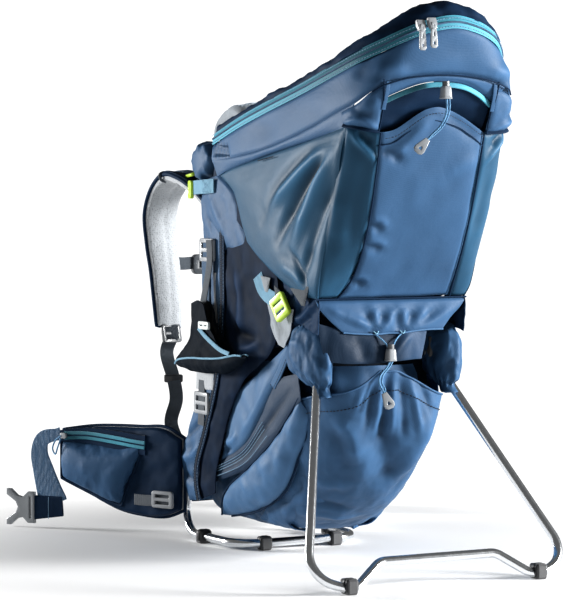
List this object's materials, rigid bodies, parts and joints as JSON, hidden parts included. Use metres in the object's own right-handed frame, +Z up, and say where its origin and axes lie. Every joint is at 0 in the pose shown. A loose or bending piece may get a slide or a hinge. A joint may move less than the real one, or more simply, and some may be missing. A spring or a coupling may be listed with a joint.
{
  "type": "baby carrier backpack",
  "caption": "Framed child-carrying backpack with padded cockpit, hip belt, shoulder harness, foot stirrups and a fold-out tubular kickstand.",
  "frame": {"origin": "on the floor, under the centre of the whole object's box, with the kickstand open", "axes": "+X to the wearer's right, +Y towards the wearer, +Z up"},
  "size_m": [0.5724, 0.8337, 0.737],
  "materials": {
    "aluminium_tube": "polished 12 mm tube",
    "inner_tube": "satin tube",
    "steel_pin": "satin pin",
    "black_plastic": "moulded nylon",
    "grey_plastic": "moulded acetal, fine texture",
    "lime_plastic": "moulded acetal",
    "slate_fabric": "coated slate-blue polyester, plain weave",
    "petrol_fabric": "stretch woven petrol-blue polyester",
    "navy_fabric": "dark navy polyester",
    "grey_mesh": "light grey 3D spacer mesh",
    "webbing": "woven nylon webbing",
    "cord": "braided polyester cord",
    "stirrup_rubber": "moulded rubber cup"
  },
  "bodies": {
    "root": {"base_loop": "aluminium_tube", "side_tube_left": "aluminium_tube", "side_tube_right": "aluminium_tube", "hood_bow": "inner_tube", "strut_left": "inner_tube", "strut_right": "inner_tube", "hinge_bracket_left": "black_plastic", "hinge_bracket_right": "black_plastic", "hinge_pin_left": "steel_pin", "hinge_pin_right": "steel_pin", "base_foot_front_left": "black_plastic", "base_foot_front_right": "black_plastic", "base_foot_side_left": "black_plastic", "base_foot_side_right": "black_plastic", "side_panel_left": "petrol_fabric", "side_panel_right": "petrol_fabric", "outer_panel": "petrol_fabric", "outer_pocket": "slate_fabric", "hood_top": "slate_fabric", "rim_left": "navy_fabric", "rim_right": "navy_fabric", "front_bumper": "slate_fabric", "chin_pad": "grey_mesh", "back_panel": "navy_fabric", "lumbar_pad": "grey_mesh", "side_sleeve_left": "slate_fabric", "side_sleeve_right": "slate_fabric", "seat_back": "grey_mesh", "lower_bag": "slate_fabric", "stretch_pocket": "slate_fabric", "hem_flap": "slate_fabric", "pivot_pod_left": "slate_fabric", "pivot_pod_right": "slate_fabric", "pocket_cord_lock": "grey_plastic", "pocket_cord": "cord", "pocket_cord_end": "grey_plastic", "hem_cord_lock": "grey_plastic", "hem_cord": "cord"},
    "stand": {"stand_bow": "aluminium_tube", "stand_foot_left": "black_plastic", "stand_foot_right": "black_plastic"},
    "harness": {"shoulder_yoke": "grey_mesh", "shoulder_strap_left": "navy_fabric", "shoulder_strap_right": "navy_fabric"},
    "sternum": {"sternum_buckle": "black_plastic"},
    "fin_left": {"hip_fin_left": "slate_fabric", "hip_web_left": "webbing", "hip_buckle_male": "grey_plastic"},
    "fin_right": {"hip_fin_right": "slate_fabric", "hip_web_right": "webbing", "hip_buckle_female": "grey_plastic"},
    "stirrup_left": {"stirrup_left": "stirrup_rubber"},
    "stirrup_right": {"stirrup_right": "stirrup_rubber"},
    "slider_left": {"zip_slider_left": "grey_plastic"},
    "slider_right": {"zip_slider_right": "grey_plastic"},
    "pocket_button": {"pocket_cord_button": "grey_plastic"},
    "hem_button": {"hem_cord_button": "grey_plastic"},
    "leg_lock_left": {"leg_lock_left": "lime_plastic"},
    "leg_lock_right": {"leg_lock_right": "lime_plastic"},
    "seat": {"child_seat": "navy_fabric"}
  },
  "joints": [
    {"name": "stand_fold", "type": "hinge", "parent": "root", "child": "stand", "pos_m": [0, -0.202, 0.285], "axis": [1, 0, 0], "range_deg": [0, 58]},
    {"name": "harness_height", "type": "slide", "parent": "root", "child": "harness", "axis": [0, -0.055, 0.9985], "range_m": [-0.03, 0.025]},
    {"name": "sternum_height", "type": "slide", "parent": "harness", "child": "sternum", "axis": [0, -0.2588, 0.9659], "range_m": [-0.03, 0.03]},
    {"name": "hip_fin_left_swing", "type": "hinge", "parent": "root", "child": "fin_left", "pos_m": [-0.1125, 0.15, 0.093], "axis": [0, 0, -1], "range_deg": [-25, 15]},
    {"name": "hip_fin_right_swing", "type": "hinge", "parent": "root", "child": "fin_right", "pos_m": [0.1125, 0.15, 0.093], "axis": [0, 0, 1], "range_deg": [-25, 15]},
    {"name": "stirrup_left_swing", "type": "hinge", "parent": "root", "child": "stirrup_left", "pos_m": [-0.1215, 0.086, 0.428], "axis": [1, 0, 0], "range_deg": [-30, 30]},
    {"name": "stirrup_right_swing", "type": "hinge", "parent": "root", "child": "stirrup_right", "pos_m": [0.1215, 0.086, 0.428], "axis": [1, 0, 0], "range_deg": [-30, 30]},
    {"name": "zip_slider_left_travel", "type": "slide", "parent": "root", "child": "slider_left", "axis": [-0.8, 0.48, -0.36], "range_m": [0, 0.03]},
    {"name": "zip_slider_right_travel", "type": "slide", "parent": "root", "child": "slider_right", "axis": [1, 0, 0], "range_m": [0, 0.075]},
    {"name": "pocket_button_press", "type": "slide", "parent": "root", "child": "pocket_button", "axis": [0, 0, -1], "range_m": [0, 0.003], "stiffness_N_per_m": 400, "springref_m": -0.002},
    {"name": "hem_button_press", "type": "slide", "parent": "root", "child": "hem_button", "axis": [0, 0, -1], "range_m": [0, 0.003], "stiffness_N_per_m": 400, "springref_m": -0.002},
    {"name": "leg_lock_left_tilt", "type": "hinge", "parent": "root", "child": "leg_lock_left", "pos_m": [-0.1245, -0.128, 0.3634], "axis": [0, 0.8192, -0.5736], "range_deg": [0, 40]},
    {"name": "leg_lock_right_tilt", "type": "hinge", "parent": "root", "child": "leg_lock_right", "pos_m": [0.1245, -0.128, 0.3634], "axis": [0, -0.8192, 0.5736], "range_deg": [0, 40]},
    {"name": "seat_height", "type": "slide", "parent": "root", "child": "seat", "axis": [0, 0, 1], "range_m": [-0.02, 0.03]}
  ]
}
